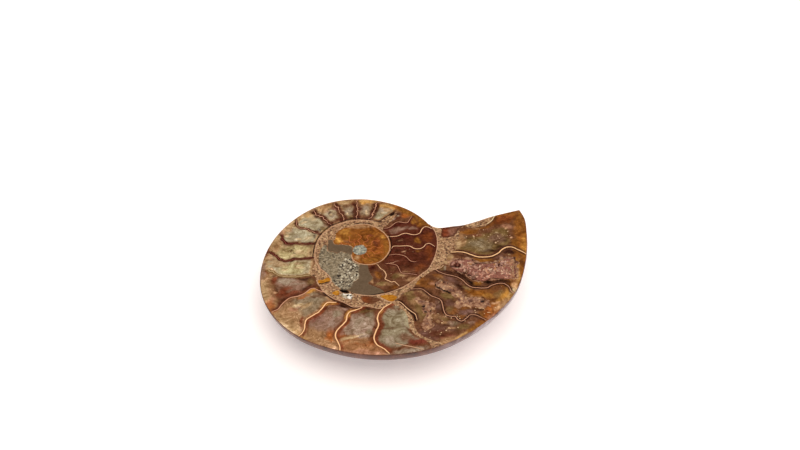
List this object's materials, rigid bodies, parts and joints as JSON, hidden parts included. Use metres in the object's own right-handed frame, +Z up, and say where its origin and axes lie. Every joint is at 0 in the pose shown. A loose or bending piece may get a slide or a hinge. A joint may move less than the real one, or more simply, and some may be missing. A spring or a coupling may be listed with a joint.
{
  "type": "ammonite fossil half",
  "caption": "Sawn and polished half of a coiled ammonite fossil, with calcite-filled chambers, stone matrix and an open crystal pocket, lying on its ground back.",
  "frame": {"origin": "middle of the part's box, on the surface that it lies on", "axes": "+Z up, out of the cut face; +X along the longest extent, from the small side of the coil towards the aperture side"},
  "size_m": [0.1106, 0.0892, 0.013],
  "materials": {
    "fossil_stone": "polished calcite and stone matrix",
    "crystals": "rough pink calcite crystals"
  },
  "bodies": {
    "root": {"ammonite_half": "fossil_stone", "pocket_crystals": "crystals"}
  },
  "joints": []
}
